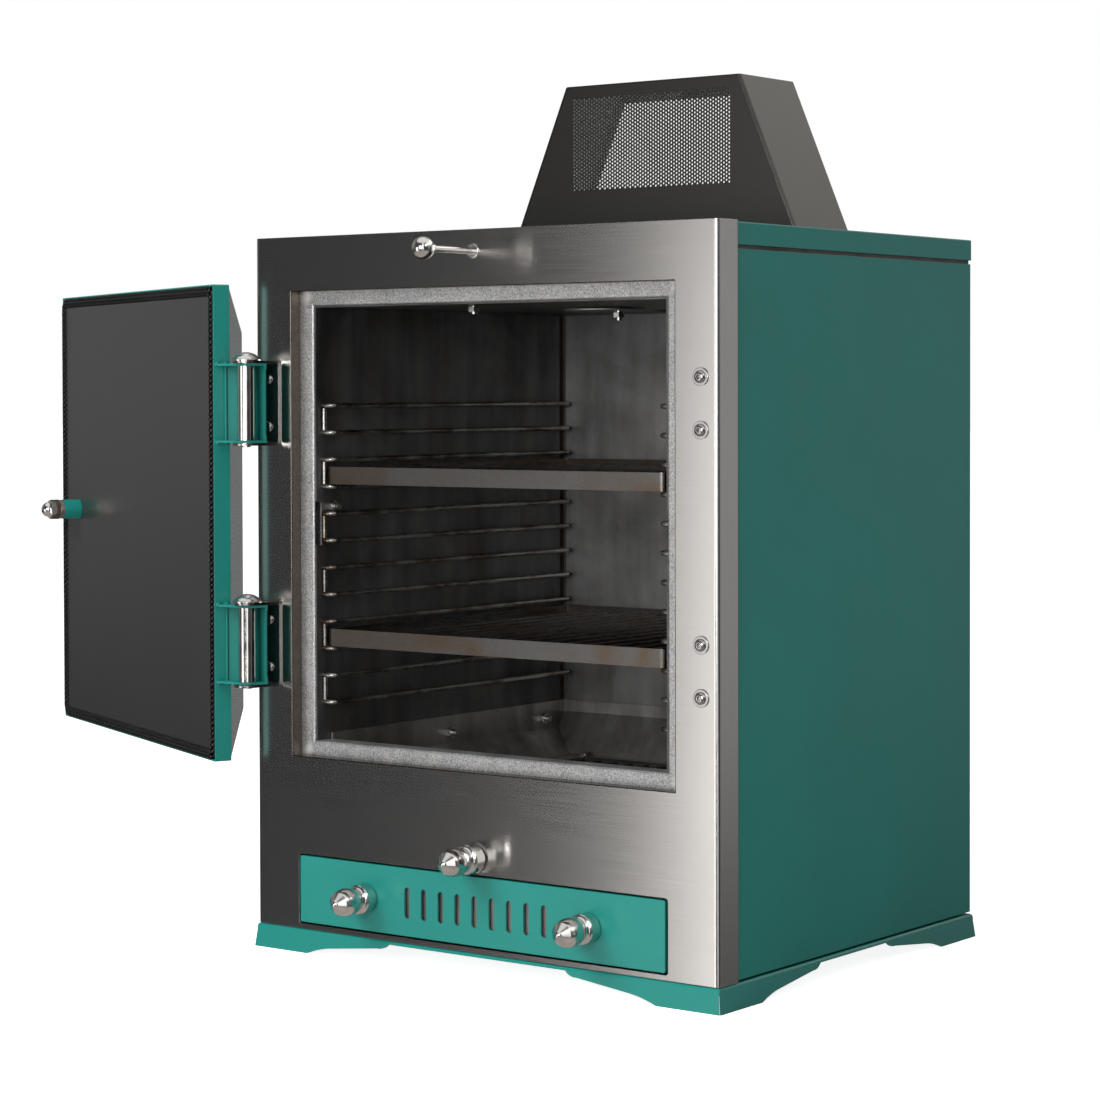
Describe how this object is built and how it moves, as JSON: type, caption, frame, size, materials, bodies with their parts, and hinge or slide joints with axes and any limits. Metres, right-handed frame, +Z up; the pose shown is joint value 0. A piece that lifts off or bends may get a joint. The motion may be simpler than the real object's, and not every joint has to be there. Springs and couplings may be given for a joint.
{
  "type": "charcoal cabinet oven and smoker",
  "caption": "Insulated cabinet oven and smoker with a side-hung door, sliding racks on wire runners, a fire-bed over an ash drawer, a flue damper and a tapered vent hood.",
  "frame": {"origin": "on the floor under the centre of the body's footprint, hood and open door left out", "axes": "+Z up, -Y out of the facade towards the cook, +X to the right of someone facing the facade; the door is at rest in its open position"},
  "size_m": [1.2707, 0.6959, 1.101],
  "materials": {
    "brushed_stainless": "fine horizontal or vertical grain",
    "polished_stainless": "turned and polished",
    "galvanised_tube": "zinc coated, matt, with cleaned welds at the corners",
    "dark_steel": "bare hot rolled sheet, dark and slightly shiny",
    "rack_steel": "drawn wire and flat bar, tinted by heat",
    "browned_steel": "heat tinted",
    "green_enamel": "satin stove enamel",
    "charcoal_paint": "satin heat resistant paint",
    "mineral_wool": "compressed slab",
    "glass_rope": "braided glass fibre rope",
    "cast_iron": "as cast"
  },
  "bodies": {
    "cabinet": {"facade": "brushed_stainless", "seat_frame": "galvanised_tube", "liner_left": "dark_steel", "liner_right": "dark_steel", "liner_back": "dark_steel", "liner_ceiling": "dark_steel", "insulation": "mineral_wool", "body_wrap": "green_enamel", "deck": "dark_steel", "cap_lid": "green_enamel", "base_plate": "dark_steel", "plinth": "green_enamel", "firebed_plates": "dark_steel", "fire_grate": "cast_iron", "runners_left": "rack_steel", "runners_right": "rack_steel", "heat_baffle": "dark_steel", "ceiling_bolts": "polished_stainless", "liner_bolts": "polished_stainless", "flue_pipe": "dark_steel", "damper_bush": "polished_stainless", "hood_shell": "brushed_stainless", "hood_mesh": "brushed_stainless", "facade_bolts": "polished_stainless", "plug_washers": "polished_stainless", "hinge_bracket_upper": "brushed_stainless", "hinge_bracket_lower": "brushed_stainless", "hinge_pin_upper": "polished_stainless", "hinge_pin_lower": "polished_stainless", "hinge_sleeve_upper": "polished_stainless", "hinge_sleeve_lower": "polished_stainless"},
    "door": {"door_frame": "green_enamel", "door_inner_panel": "charcoal_paint", "door_gasket": "glass_rope", "door_skin": "brushed_stainless", "door_insulation": "mineral_wool", "door_bracket_upper": "green_enamel", "door_bracket_lower": "green_enamel", "latch_boss": "green_enamel", "handle_bush": "polished_stainless"},
    "latch_handle": {"latch_spindle": "polished_stainless", "latch_cam": "polished_stainless", "latch_locknut": "browned_steel", "latch_acorn_nut": "polished_stainless", "handle_lever": "polished_stainless", "handle_grip": "polished_stainless"},
    "ash_drawer": {"drawer_tray": "rack_steel", "drawer_front": "green_enamel", "drawer_knob_left": "polished_stainless", "drawer_knob_right": "polished_stainless"},
    "riddle": {"riddling_plate": "dark_steel", "riddling_rod": "polished_stainless", "riddling_knob": "polished_stainless"},
    "damper": {"damper_plate": "polished_stainless", "damper_rod": "polished_stainless", "damper_ball": "polished_stainless"},
    "upper_rack": {"rack_upper": "rack_steel"},
    "lower_rack": {"rack_lower": "rack_steel"}
  },
  "joints": [
    {"name": "door_swing", "type": "hinge", "parent": "cabinet", "child": "door", "pos_m": [-0.333, -0.3285, 0.536], "axis": [0, 0, -1], "range_deg": [-205.6, 9.4]},
    {"name": "handle_turn", "type": "hinge", "parent": "door", "child": "latch_handle", "pos_m": [-0.85593, -0.11233, 0.536], "axis": [-0.4321, -0.9018, 0], "range_deg": [0, 90]},
    {"name": "upper_rack_slide", "type": "slide", "parent": "cabinet", "child": "upper_rack", "axis": [0, -1, 0], "range_m": [0, 0.32]},
    {"name": "lower_rack_slide", "type": "slide", "parent": "cabinet", "child": "lower_rack", "axis": [0, -1, 0], "range_m": [0, 0.32]},
    {"name": "ash_drawer_slide", "type": "slide", "parent": "cabinet", "child": "ash_drawer", "axis": [0, -1, 0], "range_m": [0, 0.33]},
    {"name": "riddling_pull", "type": "slide", "parent": "cabinet", "child": "riddle", "axis": [0, -1, 0], "range_m": [0, 0.045]},
    {"name": "flue_damper", "type": "slide", "parent": "cabinet", "child": "damper", "axis": [0, -1, 0], "range_m": [-0.072, 0]}
  ]
}
